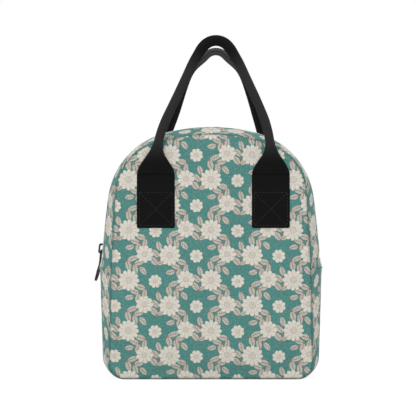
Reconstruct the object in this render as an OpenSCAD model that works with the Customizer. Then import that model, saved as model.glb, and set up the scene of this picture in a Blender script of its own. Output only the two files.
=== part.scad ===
// Soft insulated lunch bag: arched body with a zip round the top, two sewn webbing handles.
// Front faces -Y, width along X, +Z up. The origin is the middle of the base, on the ground plane.

/* [Body] */
// Depth of the body, front panel face to back panel face
body_depth = 126; // [100:1:170]
// Height of the front and back panels at the middle
panel_height = 246.7; // [236:0.1:262]
// Height of the body at mid-depth, over the zip
crown_height = 255; // [246:0.5:275]
// Half width of the panels at the waist
panel_half = 100.8; // [90:0.1:115]
// Half width of the body at mid-depth, at the waist
crown_half = 114; // [103:0.5:130]
// Height of the waist, where the lower gusset meets the zip gusset
waist_z = 112; // [100:1:116]
// Inward lean of the panel edge above the waist, degrees
panel_lean = 3.1; // [1:0.1:6]
// Inward lean of the zip gusset above the waist, degrees
crown_lean = 6.8; // [3:0.1:9]
// Outward lean of the lower gusset, base to waist, degrees
flare = 2; // [0:0.1:4]
// Corner radius at the foot of the panels
corner_r = 16; // [8:1:24]
// Radius of the top arc of the panels
panel_top_r = 186; // [150:1:230]
// How far each padded panel swells out at its middle
panel_swell = 4.5; // [0:0.5:6]
// Half sweep of the top arc of the panels, degrees
panel_top_sweep = 18; // [12:0.5:22]
// Radius of the top arc at mid-depth
crown_top_r = 192; // [150:1:240]
// Half sweep of the top arc at mid-depth, degrees
crown_top_sweep = 14; // [10:0.5:20]

/* [Layers] */
// Thickness of the printed outer fabric
fabric_t = 0.8; // [0.4:0.1:1.4]
// Thickness of the insulating foam
foam_t = 4; // [2:0.5:6]
// Thickness of the foil lining
lining_t = 0.5; // [0.3:0.1:1]
// Thickness of the glue film between two layers
glue_t = 0.05; // [0.04:0.01:0.2]
// Width of the tape that binds each inside seam
binding_w = 8; // [5:0.5:12]
// Thickness of the bound seam
binding_t = 1.4; // [0.8:0.1:2]
// How far the top hem of the lower gusset stands proud of the zip gusset
hem_proud = 1; // [0.4:0.1:1.4]

/* [Zip] */
// Height of the zip's lower ends, where both flaps fold
fold_z = 120; // [118:1:128]
// Half of the slot between the two fabric edges beside the zip
zip_slot_half = 6; // [5:0.5:8]
// Width of the tape that is sewn under the fabric edge
tape_tuck = 6.5; // [4:0.5:9]
// Thickness of the zip tape
tape_t = 0.6; // [0.4:0.1:0.9]
// Length of a tooth, tape edge to tip
tooth_w = 2.1; // [1.5:0.1:2.6]
// Height of a tooth through the tape
tooth_h = 2.4; // [1.8:0.1:3]
// Distance from tooth to tooth
tooth_pitch = 3; // [2.6:0.1:5]
// Gap between the tips of the two tooth rows
tooth_gap = 1; // [0.8:0.1:1.4]

/* [Slider] */
// Height of the slider above the fold at rest
slider_rise = 9.5; // [8:0.5:14]
// Length of the slider body
slider_len = 11; // [9:0.5:14]
// Width of the slider body
slider_w = 8.4; // [7.6:0.1:9.4]
// Thickness of each slider plate
plate_t = 1.1; // [0.8:0.1:1.5]
// Clear height under the slider's bridge
bridge_clear = 2.6; // [2.4:0.1:4]
// Thickness of the bridge
bridge_t = 1.5; // [1:0.1:2]
// Length of the pull, pin to tip
pull_len = 30; // [22:1:36]
// Width of the pull
pull_w = 7; // [6.4:0.1:9]
// Thickness of the pull
pull_t = 2.2; // [1.6:0.1:3]

/* [Handles] */
// Width of the webbing
webbing_w = 38; // [30:1:50]
// Thickness of the webbing
webbing_t = 1.8; // [1.2:0.1:2.5]
// Distance from the middle of the bag to the middle of each sewn end
handle_half = 57.5; // [50:0.5:64]
// Height of the lower edge of the sewn ends
patch_z = 152; // [140:1:160]
// Length of each sewn end, up to the line where the handle folds over
patch_len = 55; // [45:1:60]
// Height of the top of the handles
handle_top_z = 346; // [330:1:360]
// Lean of the handle legs, degrees
leg_lean = 24.4; // [22:0.1:27]
// Bend radius at the foot of each leg
foot_bend_r = 120; // [90:1:130]
// Half width of the rolled grip, seen from the front
grip_half_w = 5.4; // [4:0.1:7]
// Half depth of the rolled grip
grip_half_d = 4; // [3:0.1:5]
// How far the top of each handle leans in over the bag
handle_lean_in = 15; // [11:0.5:20]

/* [Hidden] */

// Clearance between two pieces that move apart, and half of it
gap = 0.3;
half_gap = gap / 2;
// Steps on each arc of an outline
corner_steps = 6;
waist_steps = 2;
waist_r = 60;
shoulder_steps = 9;
top_steps = 5;
// How round the gusset is across the depth
bulge_power = 2.6;

// Distances of the layers in from the outside of the gusset
foam_in = fabric_t + glue_t;
lining_in = foam_in + foam_t + glue_t;
inside_in = lining_in + lining_t + glue_t;

// Planes of the panel layers, as distances from the middle of the bag
panel_y = body_depth / 2;
fabric_y = panel_y - fabric_t;
foam_y = fabric_y - glue_t - foam_t;
lining_y = foam_y - glue_t - lining_t;
// Edges of the zip's pieces, as distances from the middle of the bag
tooth_tip_y = tooth_gap / 2;
tape_edge_y = tooth_tip_y + tooth_w;
tape_back_y = zip_slot_half + tape_tuck;
foam_end_y = tape_back_y + 1.5;
lining_end_y = zip_slot_half + 2;

// An outline: half width at the waist, lean above it and below it, foot radius, top radius,
// top sweep and height. Every arc is tangent to its neighbours.
PANEL = [panel_half, panel_lean, 1.1, corner_r, panel_top_r, panel_top_sweep, panel_height];
CROWN = [crown_half, crown_lean, -flare, corner_r + 2, crown_top_r, crown_top_sweep, crown_height];

function unit(a) = [cos(a), sin(a)];
function upper_lean(o) = o[1];
function lower_lean(o) = o[2];
function upper_reach(o) = unit(upper_lean(o)) * [o[0], waist_z];
function lower_reach(o) = unit(lower_lean(o)) * [o[0], waist_z];
function top_centre(o) = [0, o[6] - o[4]];
function top_start(o) = 90 - o[5];
function top_end(o) = top_centre(o) + o[4] * unit(top_start(o));
function shoulder_r(o) = (upper_reach(o) - unit(upper_lean(o)) * top_end(o))
    / (1 - unit(upper_lean(o)) * unit(top_start(o)));
function shoulder_centre(o) = top_end(o) - shoulder_r(o) * unit(top_start(o));
function foot_centre(o) =
    [(lower_reach(o) - o[3] - sin(lower_lean(o)) * o[3]) / cos(lower_lean(o)), o[3]];
function waist_centre(o) =
    let (l = lower_lean(o), u = upper_lean(o), a = lower_reach(o) - waist_r, b = upper_reach(o) - waist_r)
    [a * sin(u) - b * sin(l), b * cos(l) - a * cos(u)] / sin(u - l);

function arc(centre, r, from, to, steps, first = 0) =
    [for (i = [first:steps]) centre + r * unit(from + (to - from) * i / steps)];
// Where the side of an outline, moved in by d, passes a height
function side_at(o, d, z) =
    [(upper_reach(o) - d - sin(upper_lean(o)) * z) / cos(upper_lean(o)), z];
function low_side_at(o, d, z) =
    [(lower_reach(o) - d - sin(lower_lean(o)) * z) / cos(lower_lean(o)), z];
function both_sides(half, skip) =
    concat([for (i = [len(half) - 1:-1:0]) [-half[i][0], half[i][1]]],
           [for (i = [skip:len(half) - 1]) half[i]]);

// The outline moved in by d, below the fold, from the left fold end round the base to the right
function lower_outline(o, d) = both_sides(concat(
    arc(foot_centre(o), o[3] - d, -90, lower_lean(o), corner_steps),
    arc(waist_centre(o), waist_r - d, lower_lean(o), upper_lean(o), waist_steps),
    [side_at(o, d, fold_z - half_gap)]), 0);
// The outline moved in by d, above the fold, from the left fold end over the top to the right
function upper_half(o, d) = concat(
    [for (i = [top_steps:-1:0])
        top_centre(o) + (o[4] - d) * unit(top_start(o) + o[5] * i / top_steps)],
    [for (i = [shoulder_steps - 1:-1:0]) shoulder_centre(o) + (shoulder_r(o) - d)
        * unit(upper_lean(o) + (top_start(o) - upper_lean(o)) * i / shoulder_steps)],
    [side_at(o, d, fold_z + half_gap)]);
function upper_outline(o, d) = both_sides(upper_half(o, d), 1);

// Share of the gusset's bulge at a distance from the middle: straight between these stations
BULGE_AT = [0, foam_end_y, 0.54 * fabric_y, 0.8 * fabric_y, foam_y, fabric_y];
BULGE = [for (y = BULGE_AT) [y, 1 - pow(y / fabric_y, bulge_power)]];
function bulge(y) = lookup(abs(y), BULGE);

// A point list on the gusset at depth y, moved in by d: the panel edge swollen towards the crown
function gusset_line(upper, y, d) =
    let (edge = upper ? upper_outline(PANEL, d) : lower_outline(PANEL, d),
         crown = upper ? upper_outline(CROWN, d) : lower_outline(CROWN, d))
    [for (i = [0:len(edge) - 1])
        let (p = edge[i] + (crown[i] - edge[i]) * bulge(y)) [p[0], y, p[1]]];

// A closed sheet between two grids of points: rows of the outer face, then rows of the inner face.
// A flat end may follow the last row: its rim, from the last column round to the first, on each face.
module sheet(outer, inner, rim = [[], []]) {
    m = len(outer);
    n = len(outer[0]);
    r = len(rim[0]);
    points = concat([for (row = outer) each row], [for (row = inner) each row], rim[0], rim[1]);
    function id(side, j, i) = side * m * n + j * n + i;
    function rim_id(side, k) =
        k == 0 ? id(side, m - 1, n - 1) : k == r + 1 ? id(side, m - 1, 0) : 2 * m * n + side * r + k - 1;
    function quad(a, b, c, d) = [[a, b, c], [a, c, d]];
    faces = concat(
        [for (j = [0:m - 2], i = [0:n - 2])
            each quad(id(0, j, i), id(0, j + 1, i), id(0, j + 1, i + 1), id(0, j, i + 1))],
        [for (j = [0:m - 2], i = [0:n - 2])
            each quad(id(1, j, i), id(1, j, i + 1), id(1, j + 1, i + 1), id(1, j + 1, i))],
        [for (i = [0:n - 2])
            each quad(id(0, 0, i), id(0, 0, i + 1), id(1, 0, i + 1), id(1, 0, i))],
        r > 0 ? [] : [for (i = [0:n - 2])
            each quad(id(0, m - 1, i + 1), id(0, m - 1, i), id(1, m - 1, i), id(1, m - 1, i + 1))],
        r == 0 ? [] : [[for (k = [r + 1:-1:0]) rim_id(0, k), for (i = [n - 2:-1:1]) id(0, m - 1, i)]],
        r == 0 ? [] : [[for (k = [0:r + 1]) rim_id(1, k), for (i = [1:n - 2]) id(1, m - 1, i)]],
        r == 0 ? [] : [for (k = [0:r])
            each quad(rim_id(0, k), rim_id(0, k + 1), rim_id(1, k + 1), rim_id(1, k))],
        [for (j = [0:m - 2])
            each quad(id(0, j + 1, 0), id(0, j, 0), id(1, j, 0), id(1, j + 1, 0))],
        [for (j = [0:m - 2])
            each quad(id(0, j, n - 1), id(0, j + 1, n - 1), id(1, j + 1, n - 1), id(1, j, n - 1))]);
    polyhedron(points, faces);
}

// A layer of the gusset: stations are [depth, how far in it starts, how far in it ends]
module gusset_layer(upper, stations) {
    sheet([for (s = stations) gusset_line(upper, s[0], s[1])],
          [for (s = stations) gusset_line(upper, s[0], s[2])]);
}

// Stations of a layer from a panel plane to an end, using the bulge stations between
function stations(from, to, d0, d1) = concat([[-from, d0, d1]],
    [for (i = [len(BULGE_AT) - 1:-1:0]) let (y = BULGE_AT[i])
        if (y < from - 0.01 && y > to + 0.01) [-y, d0, d1]],
    [[-to, d0, d1]]);
// The same stations on the back half
function turned(half) = [for (i = [len(half) - 1:-1:0]) [-half[i][0], half[i][1], half[i][2]]];
// Stations from panel plane to panel plane, through the middle
function whole_depth(from, d0, d1) =
    let (half = stations(from, 0, d0, d1), other = turned(half))
    concat(half, [for (i = [1:len(other) - 1]) other[i]]);

module mirrored(back) {
    if (back) mirror([0, 1, 0]) children();
    else children();
}

// A flat panel layer: an outline moved in by d, between two distances from the middle
module panel_layer(upper, d, y_out, y_in) {
    translate([0, -y_in, 0])
        rotate([90, 0, 0])
            linear_extrude(y_out - y_in)
                polygon(upper ? upper_outline(PANEL, d) : lower_outline(PANEL, d));
}

// How far a padded panel stands out, at a share of its half width: nothing at the seams, nor from the
// sewn ends of the handles up
function swell(share, z) =
    panel_swell * (1 - pow(abs(share), 3)) * (1 - pow(abs(2 * z / patch_z - 1), 3));
SHARES = [-1, -0.85, -0.5, 0, 0.5, 0.85, 1];
// Right edge of a panel, moved in by d, in rows: foot, lower side, waist and fold, or fold to handles
function lower_rows(d) = concat(
    arc(foot_centre(PANEL), corner_r - d, -90, lower_lean(PANEL), corner_steps),
    [for (z = [0.25, 0.5] * patch_z) low_side_at(PANEL, d, z)],
    arc(waist_centre(PANEL), waist_r - d, lower_lean(PANEL), upper_lean(PANEL), waist_steps),
    [side_at(PANEL, d, fold_z - half_gap)]);
function upper_rows(d) =
    [for (z = [fold_z + half_gap, (fold_z + patch_z) / 2, patch_z]) side_at(PANEL, d, z)];

// A padded panel layer, moved in by d: its outer face swells, its inner face takes a share of that
module padded_layer(upper, d, y_out, y_in, follow) {
    rows = upper ? upper_rows(d) : lower_rows(d);
    function face(y, part) = [for (p = rows) [for (s = SHARES) [s * p[0], -y - part * swell(s, p[1]), p[1]]]];
    over = upper_half(PANEL, d);
    right = [for (i = [len(over) - 2:-1:0]) over[i]];
    left = [for (i = [1:len(over) - 2]) [-over[i][0], over[i][1]]];
    function rim(y) = [for (p = concat(right, left)) [p[0], -y, p[1]]];
    sheet(face(y_out, 1), face(y_in, follow), upper ? [rim(y_out), rim(y_in)] : [[], []]);
}

module printed() { color("#4c8b84") children(); }
module foam() { color("#f2f2ee") children(); }
module foil() { color("#c9ccd0") children(); }
module black() { color("#161618") children(); }

// The strip that makes both sides and the base, with a hem lapped over the zip gusset's ends
module base_gusset() {
    function hem(p) = let (rise = (p[2] - (waist_z - 14)) / 8,
                           share = min(1, max(0, rise)) * bulge(p[1]))
        [p[0] + sign(p[0]) * hem_proud * share, p[1], p[2]];
    rows = whole_depth(fabric_y, 0, fabric_t);
    printed() sheet([for (s = rows) [for (p = gusset_line(false, s[0], s[1])) hem(p)]],
                    [for (s = rows) gusset_line(false, s[0], s[2])]);
}
module base_gusset_foam() {
    foam() gusset_layer(false, whole_depth(foam_y - glue_t, foam_in, foam_in + foam_t));
}
module base_gusset_lining() {
    foil() gusset_layer(false, whole_depth(lining_y - glue_t, lining_in, lining_in + lining_t));
}

// Front and back panels, each cut in one and shown as a lower and an upper piece at the fold
module panel_fabric(upper, back) {
    printed() mirrored(back) padded_layer(upper, 0, panel_y, fabric_y, 1);
}
module panel_foam(upper, back) {
    foam() mirrored(back) padded_layer(upper, foam_in, fabric_y - glue_t, foam_y, 0);
}
module panel_lining(upper, back) {
    foil() mirrored(back) panel_layer(upper, lining_in, foam_y - glue_t, lining_y);
}
// Folded tape over the raw edges of the inside seam, lying on the gusset's lining
module binding(upper, back) {
    line = stations(lining_y - glue_t, lining_y - binding_w, inside_in, inside_in + binding_t);
    black()
        if (upper) mirrored(back) gusset_layer(true, line);
        else gusset_layer(false, back ? turned(line) : line);
}

// Half of the zip gusset: printed strip, foam that thins out at the zip, lining turned up to the tape
module zip_gusset(back) {
    printed() mirrored(back) gusset_layer(true, stations(fabric_y, zip_slot_half, 0, fabric_t));
}
module zip_gusset_foam(back) {
    foam() mirrored(back) gusset_layer(true, concat(
        stations(foam_y - glue_t, foam_end_y, foam_in, foam_in + foam_t),
        [[-tape_back_y - glue_t, foam_in, foam_in + tape_t]]));
}
module zip_gusset_lining(back) {
    under = foam_in + tape_t + glue_t;
    foil() mirrored(back) gusset_layer(true, concat(
        stations(lining_y - glue_t, foam_end_y, lining_in, lining_in + lining_t),
        [[-tape_back_y - glue_t, under, under + lining_t], [-lining_end_y, under, under + lining_t]]));
}
module zip_tape(back) {
    black() mirrored(back)
        gusset_layer(true, stations(tape_back_y, tape_edge_y, foam_in, foam_in + tape_t));
}

// The chain's path: straight side, shoulder and top arc, measured from the fold on one side
side_len = (shoulder_centre(CROWN)[1] + shoulder_r(CROWN) * sin(crown_lean) - fold_z) / cos(crown_lean);
shoulder_sweep = top_start(CROWN) - crown_lean;
shoulder_len = shoulder_r(CROWN) * shoulder_sweep * PI / 180;
top_len = crown_top_r * crown_top_sweep * PI / 180;
chain_half = side_len + shoulder_len + top_len;
// [x, z, angle of the outward normal] at a length from the right fold end, moved in by d
function on_side(s, d) =
    let (p = side_at(CROWN, d, fold_z) + s * [-sin(crown_lean), cos(crown_lean)])
    [p[0], p[1], crown_lean];
function on_arc(centre, r, a) = let (p = centre + r * unit(a)) [p[0], p[1], a];
function on_chain(s, d) =
    s < side_len ? on_side(s, d)
    : s < side_len + shoulder_len
    ? on_arc(shoulder_centre(CROWN), shoulder_r(CROWN) - d,
             crown_lean + (s - side_len) / shoulder_len * shoulder_sweep)
    : on_arc(top_centre(CROWN), crown_top_r - d,
             top_start(CROWN) + (s - side_len - shoulder_len) / top_len * crown_top_sweep);

// One row of moulded teeth along the tape's edge, following the arch. The back row runs on through
// the slider, which hangs on it, and the front row ends above the slider, where it comes apart.
module zip_teeth(back) {
    from = slider_rise + (back ? -0.5 : 0.5) * slider_len + gap;
    count = floor((chain_half - from) / tooth_pitch);
    mid_in = foam_in + tape_t / 2;
    root_l = 1.3;
    head_l = 2;
    waist_y = tape_edge_y - 0.35 * tooth_w;
    black() mirrored(back) for (side = [0, 1], k = [0:count - 1]) {
        at = on_chain(chain_half - tooth_pitch * (k + 0.5), mid_in);
        mirror([side, 0, 0])
            translate([at[0], 0, at[1]])
                rotate([0, -at[2], 0])
                    translate([-tooth_h / 2, 0, 0])
                        rotate([90, 0, 90])
                            linear_extrude(tooth_h)
                                polygon([[-tape_edge_y, -root_l / 2], [-waist_y, -root_l / 2],
                                         [-tooth_tip_y - 0.4, -head_l / 2], [-tooth_tip_y, -root_l / 2],
                                         [-tooth_tip_y, root_l / 2], [-tooth_tip_y - 0.4, head_l / 2],
                                         [-waist_y, root_l / 2], [-tape_edge_y, root_l / 2]]);
    }
}

// Sewn end of the webbing, flat on the panel, square with slightly eased corners
module patch(back, side) {
    ease = 1;
    black() mirrored(back)
        translate([side * handle_half, -panel_y, patch_z])
            rotate([90, 0, 0])
                linear_extrude(webbing_t)
                    polygon([[-webbing_w / 2 + ease, 0], [webbing_w / 2 - ease, 0],
                             [webbing_w / 2, ease], [webbing_w / 2, patch_len - half_gap],
                             [-webbing_w / 2, patch_len - half_gap], [-webbing_w / 2, ease]]);
}

// Handle centreline in the plane of the panel: upright foot, bend, straight leg, tight top arc
handle_fold_z = patch_z + patch_len;
foot_rise = 9.4;
foot_z = handle_fold_z + foot_rise;
apex_z = handle_top_z - grip_half_w;
leg_reach = unit(leg_lean) * ([handle_half - foot_bend_r, foot_z] + foot_bend_r * unit(leg_lean));
apex_r = (leg_reach - sin(leg_lean) * apex_z) / (1 - sin(leg_lean));
bend_end = [handle_half - foot_bend_r, foot_z] + foot_bend_r * unit(leg_lean);
apex_start = [0, apex_z - apex_r] + apex_r * unit(leg_lean);
// [point, angle of the outward normal] along the right half, foot to apex
LEG = concat(
    [for (i = [0:3]) [[handle_half, handle_fold_z + half_gap + (foot_z - handle_fold_z - half_gap) * i / 4], 0]],
    [for (i = [0:7]) let (a = leg_lean * i / 7)
        [[handle_half - foot_bend_r, foot_z] + foot_bend_r * unit(a), a]],
    [for (i = [1:4]) [bend_end + (apex_start - bend_end) * i / 5, leg_lean]],
    [for (i = [0:6]) let (a = leg_lean + (90 - leg_lean) * i / 6)
        [[0, apex_z - apex_r] + apex_r * unit(a), a]]);
// The webbing is flat at the foot, and rolled into a round grip where it leaves the panel
roll_len = 25;
roll_end_z = handle_fold_z + roll_len;
rim_z = panel_height - 2;
function ease_in(t) = let (c = min(1, max(0, t))) c * c * (3 - 2 * c);
function rolled(z) = ease_in((z - handle_fold_z) / (roll_end_z - handle_fold_z));
function leans(z) = ease_in((z - rim_z) / (apex_z - rim_z) * 0.5) * 2;
function rounded(c, p) = sign(c) * pow(abs(c), p);
ring_points = 14;

module handle(back) {
    right = [for (k = [0:len(LEG) - 1]) [LEG[k][0], LEG[k][1]]];
    path = concat(right, [for (k = [len(right) - 2:-1:0])
        [[-right[k][0][0], right[k][0][1]], 180 - right[k][1]]]);
    rings = [for (p = path)
        let (z = p[0][1], r = rolled(z),
             a = webbing_w / 2 + (grip_half_w - webbing_w / 2) * r,
             b = webbing_t / 2 + (grip_half_d - webbing_t / 2) * r,
             y = -panel_y - (webbing_t / 2) * (1 - r) - (gap + grip_half_d) * r
                 + handle_lean_in * leans(z),
             corner = 0.25 + 0.55 * r)
        [for (i = [0:ring_points - 1])
            let (t = 360 * (i + 0.5) / ring_points, u = a * rounded(cos(t), corner))
            [p[0][0] + u * cos(p[1]), y + b * rounded(sin(t), corner), z + u * sin(p[1])]]];
    last = len(rings) - 1;
    faces = concat(
        [[for (i = [0:ring_points - 1]) i]],
        [for (j = [0:last - 1], i = [0:ring_points - 1])
            let (a = j * ring_points + i, b = j * ring_points + (i + 1) % ring_points)
            each [[a, a + ring_points, b + ring_points], [a, b + ring_points, b]]],
        [[for (i = [ring_points - 1:-1:0]) last * ring_points + i]]);
    black() mirrored(back) polyhedron([for (r = rings) each r], faces);
}

// Slider, drawn with +X out of the bag and +Z up the chain, its middle on the gusset's surface
slider_z = fold_z + slider_rise;
slider_x = side_at(CROWN, 0, slider_z)[0];
chain_top = tooth_h / 2 - foam_in - tape_t / 2;
chain_under = -tooth_h / 2 - foam_in - tape_t / 2;
top_plate = chain_top + gap;
bridge_w = 2.4;
post_w = tooth_gap / 2;
module on_left_chain() {
    translate([-slider_x, 0, slider_z]) rotate([0, crown_lean, 0]) mirror([1, 0, 0]) children();
}
module slider_body() {
    wing = slider_w / 2;
    // The front wing stops short of the front tape, which swings past it as the flap opens
    front = tape_edge_y - gap;
    long = slider_len / 2;
    outline = [[-front * 0.6, -long], [wing * 0.6, -long], [wing, -long * 0.35], [wing, long * 0.7],
               [wing * 0.7, long], [wing * 0.15, long], [0, long * 0.75], [-wing * 0.15, long],
               [-front * 0.7, long], [-front, long * 0.7], [-front, -long * 0.35]];
    module plate(x) {
        translate([x, 0, 0]) rotate([90, 0, 90]) linear_extrude(plate_t) polygon(outline);
    }
    foot = top_plate + plate_t;
    reach = long - 0.7;
    crest = foot + bridge_clear;
    black() on_left_chain() {
        plate(top_plate);
        // The inner plate holds only the back row
        intersection() {
            plate(chain_under - gap - plate_t);
            translate([-slider_len, -post_w / 2, -slider_len]) cube(2 * slider_len);
        }
        // Post that parts the two rows, between the tips of the teeth
        translate([chain_under - gap - 0.2, -post_w / 2, -long * 0.2])
            cube([top_plate - chain_under + gap + 0.4, post_w, long * 0.85]);
        // Side wall, on the row that the slider hangs on
        translate([chain_under - gap - 0.2, wing - 0.7, -long * 0.35])
            cube([1.2, 0.7, long]);
        translate([top_plate - 0.35, wing - 0.7, -long * 0.35])
            cube([0.55, 0.7, long]);
        // Bridge that the pull hangs on
        translate([0, bridge_w / 2, 0])
            rotate([90, 0, 0])
                linear_extrude(bridge_w)
                    difference() {
                        polygon([[foot - 0.2, -reach], [crest + 0.3, -reach], [crest + bridge_t, -reach + 1.2],
                                 [crest + bridge_t, reach - 2.2], [crest + 0.4, reach - 0.6],
                                 [foot - 0.2, reach]]);
                        polygon([[foot - 0.01, -reach + bridge_t], [crest, -reach + bridge_t],
                                 [crest, reach - 3], [foot + 0.4, reach - 1.8], [foot - 0.01, reach - 1.8]]);
                    }
    }
}

// Pull: a pin through the bridge, two cheeks beside it and a tab that flares away from the bag
pin_r = 0.8;
pin_out = top_plate + plate_t + bridge_clear - gap - pin_r;
pin_up = -slider_len / 2 + 0.7 + bridge_t + gap + pin_r;
pull_pin = [-slider_x - cos(crown_lean) * pin_out + sin(crown_lean) * pin_up,
            slider_z + sin(crown_lean) * pin_out + cos(crown_lean) * pin_up];
module pull_tab() {
    cheek_y = bridge_w / 2 + gap;
    slot_len = 4.6;
    straight = 11;
    flare_r = 70;
    flare_sweep = (pull_len - straight) / flare_r * 180 / PI;
    // Middle line of the side view, pin to tip, as [out, down]
    function line(s) = s < straight ? [0, s]
        : let (a = (s - straight) / flare_r * 180 / PI) [flare_r * (1 - cos(a)), straight + flare_r * sin(a)];
    function turn(s) = s < straight ? 0 : (s - straight) / flare_r * 180 / PI;
    function swell(s) = pull_t / 2 * (s < straight ? 0.85 : 0.85 + 0.35 * sin(180 * (s - straight) / (pull_len - straight)));
    function side(s, k) = line(s) + k * swell(s) * [cos(turn(s)), -sin(turn(s))];
    marks = [for (i = [0:12]) pull_len * i / 12];
    profile = concat([for (s = marks) side(s, 1)], [for (i = [12:-1:0]) side(marks[i], -1)]);
    lean = 5;
    black() translate([pull_pin[0], 0, pull_pin[1]]) rotate([0, lean, 0]) {
        intersection() {
            translate([0, pull_w / 2, 0])
                rotate([90, 0, 0])
                    linear_extrude(pull_w)
                        polygon([for (p = profile) [-p[0], -p[1]]]);
            rotate([90, 0, 90])
                translate([0, 0, -pull_len / 2])
                    linear_extrude(pull_len)
                        difference() {
                            union() {
                                translate([-pull_w / 2, -pull_len + pull_w / 2])
                                    square([pull_w, pull_len - pull_w / 2 + pin_r]);
                                translate([0, -pull_len + pull_w / 2]) circle(pull_w / 2, $fn = 40);
                            }
                            translate([-cheek_y, -slot_len]) square([2 * cheek_y, slot_len + 2]);
                            // The eye that runs through the tab
                            translate([0, -slot_len - 4.5]) circle(1.3, $fn = 32);
                        }
        }
        rotate([90, 0, 0])
            translate([0, 0, -pull_w / 2])
                cylinder(r = pin_r, h = pull_w, $fn = 24);
    }
}

module front_panel_lower() { panel_fabric(false, false); }
module front_panel_lower_foam() { panel_foam(false, false); }
module front_panel_lower_lining() { panel_lining(false, false); }
module back_panel_lower() { panel_fabric(false, true); }
module back_panel_lower_foam() { panel_foam(false, true); }
module back_panel_lower_lining() { panel_lining(false, true); }
module front_binding_lower() { binding(false, false); }
module back_binding_lower() { binding(false, true); }
module front_panel_upper() { panel_fabric(true, false); }
module front_panel_upper_foam() { panel_foam(true, false); }
module front_panel_upper_lining() { panel_lining(true, false); }
module zip_gusset_front() { zip_gusset(false); }
module zip_gusset_front_foam() { zip_gusset_foam(false); }
module zip_gusset_front_lining() { zip_gusset_lining(false); }
module zip_tape_front() { zip_tape(false); }
module zip_teeth_front() { zip_teeth(false); }
module front_binding_upper() { binding(true, false); }
module front_patch_left() { patch(false, -1); }
module front_patch_right() { patch(false, 1); }
module front_handle() { handle(false); }
module back_panel_upper() { panel_fabric(true, true); }
module back_panel_upper_foam() { panel_foam(true, true); }
module back_panel_upper_lining() { panel_lining(true, true); }
module zip_gusset_back() { zip_gusset(true); }
module zip_gusset_back_foam() { zip_gusset_foam(true); }
module zip_gusset_back_lining() { zip_gusset_lining(true); }
module zip_tape_back() { zip_tape(true); }
module zip_teeth_back() { zip_teeth(true); }
module back_binding_upper() { binding(true, true); }
module back_patch_left() { patch(true, -1); }
module back_patch_right() { patch(true, 1); }
module back_handle() { handle(true); }

base_gusset();
base_gusset_foam();
base_gusset_lining();
front_panel_lower();
front_panel_lower_foam();
front_panel_lower_lining();
back_panel_lower();
back_panel_lower_foam();
back_panel_lower_lining();
front_binding_lower();
back_binding_lower();
front_panel_upper();
front_panel_upper_foam();
front_panel_upper_lining();
zip_gusset_front();
zip_gusset_front_foam();
zip_gusset_front_lining();
zip_tape_front();
zip_teeth_front();
front_binding_upper();
front_patch_left();
front_patch_right();
front_handle();
back_panel_upper();
back_panel_upper_foam();
back_panel_upper_lining();
zip_gusset_back();
zip_gusset_back_foam();
zip_gusset_back_lining();
zip_tape_back();
zip_teeth_back();
back_binding_upper();
back_patch_left();
back_patch_right();
back_handle();
slider_body();
pull_tab();
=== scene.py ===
from collections import namedtuple
from math import cos, hypot, pi, radians, sin

import bpy
import numpy as np
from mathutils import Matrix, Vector, noise
from mathutils.geometry import delaunay_2d_cdt


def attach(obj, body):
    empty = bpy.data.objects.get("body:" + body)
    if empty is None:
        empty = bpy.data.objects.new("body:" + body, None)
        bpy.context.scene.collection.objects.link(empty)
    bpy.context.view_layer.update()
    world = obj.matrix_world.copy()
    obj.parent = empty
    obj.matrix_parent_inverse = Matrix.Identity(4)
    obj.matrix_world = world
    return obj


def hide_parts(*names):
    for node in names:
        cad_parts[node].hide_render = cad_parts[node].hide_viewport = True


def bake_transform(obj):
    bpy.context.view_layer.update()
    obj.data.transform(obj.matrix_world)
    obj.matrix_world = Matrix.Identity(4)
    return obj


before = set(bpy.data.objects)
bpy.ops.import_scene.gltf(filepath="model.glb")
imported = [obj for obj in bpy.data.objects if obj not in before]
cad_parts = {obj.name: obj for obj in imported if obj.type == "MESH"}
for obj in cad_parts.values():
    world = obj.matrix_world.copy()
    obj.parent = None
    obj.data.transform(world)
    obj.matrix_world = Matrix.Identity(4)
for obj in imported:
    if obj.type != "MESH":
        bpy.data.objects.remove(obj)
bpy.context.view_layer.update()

scene = bpy.context.scene
mm = 0.001

# Camera: a long lens straight in front of the bag, level, and a little above the middle of its body.
# It stands far enough off for the back handle to look only slightly smaller than the front one.
def put(name, data):
    """A new object in the scene."""
    made = bpy.data.objects.new(name, data)
    scene.collection.objects.link(made)
    return made


camera_data = bpy.data.cameras.new("camera")
camera_data.sensor_width = 36
camera_data.lens = 107.3
camera = put("camera", camera_data)
camera.location = (-3 * mm, -1303 * mm, 172 * mm)
camera.rotation_euler = (radians(90), 0, 0)
scene.camera = camera
scene.view_settings.view_transform = "Standard"


# Studio: a white sweep of floor that keeps a faint shadow, an even white room, and two soft lamps.
# The room is pure white to the camera and in reflections, and the floor glows white to the camera.
def worked(operation, reflected=False):
    """An operator that adds a Math node."""
    def work(shade, other):
        values = (other, shade) if reflected else (shade, other)
        return shade.finish.math(operation, *values)
    return work


class Shade:
    """A number or colour on its way through a finish. Arithmetic on it adds Math nodes."""

    def __init__(self, finish, socket):
        self.finish = finish
        self.socket = socket

    def __abs__(self):
        return self.finish.math("ABSOLUTE", self)

    __add__ = worked("ADD")
    __radd__ = worked("ADD", reflected=True)
    __sub__ = worked("SUBTRACT")
    __rsub__ = worked("SUBTRACT", reflected=True)
    __mul__ = worked("MULTIPLY")
    __rmul__ = worked("MULTIPLY", reflected=True)
    __truediv__ = worked("DIVIDE")
    __pow__ = worked("POWER")
    __lt__ = worked("LESS_THAN")
    __gt__ = worked("GREATER_THAN")


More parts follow.
